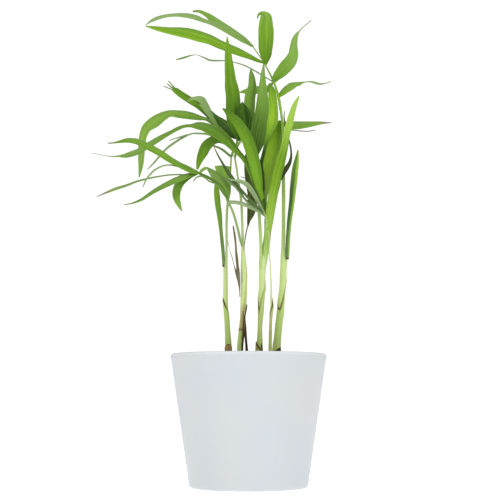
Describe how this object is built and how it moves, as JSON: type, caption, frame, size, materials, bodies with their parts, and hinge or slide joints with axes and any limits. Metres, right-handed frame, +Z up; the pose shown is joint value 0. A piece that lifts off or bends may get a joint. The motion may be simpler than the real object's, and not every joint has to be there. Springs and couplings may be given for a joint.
{
  "type": "potted parlour palm",
  "caption": "Young parlour palm: slender sheathed stems with arching feathery fronds of narrow leaflets, in a plain tapered near-white ceramic pot.",
  "frame": {"origin": "centre of the pot's flat underside, on the surface that it stands on", "axes": "+Z up, -Y towards the front view, +X to the right of the front view"},
  "size_m": [0.1543, 0.1016, 0.3207],
  "materials": {
    "ceramic": "smooth satin near-white ceramic",
    "soil": "dark crumbly potting soil",
    "stem": "pale green living stem and sheath",
    "leaf": "mid-green living leaf",
    "young_leaf": "bright yellow-green young leaf",
    "silver_leaf": "greyed leaf with a silvery underside",
    "dry": "dry brown papery scale",
    "dead": "dark shrivelled leaf"
  },
  "bodies": {
    "root": {"pot": "ceramic", "soil": "soil", "stem_left": "stem", "stem_inner": "stem", "stem_centre": "stem", "stem_thin": "stem", "stem_right": "stem", "frond_left": "leaf", "frond_inner": "leaf", "frond_low": "leaf", "frond_tall": "leaf", "frond_young": "young_leaf", "frond_silver": "silver_leaf", "frond_top": "leaf", "spear_left": "leaf", "spear_right": "leaf", "dead_leaf": "dead", "dry_spear": "dry", "split_sheath": "dry", "withered_leaf": "dead", "base_scale_left": "dry", "base_scale_centre": "dry", "base_scale_right": "dry"}
  },
  "joints": []
}
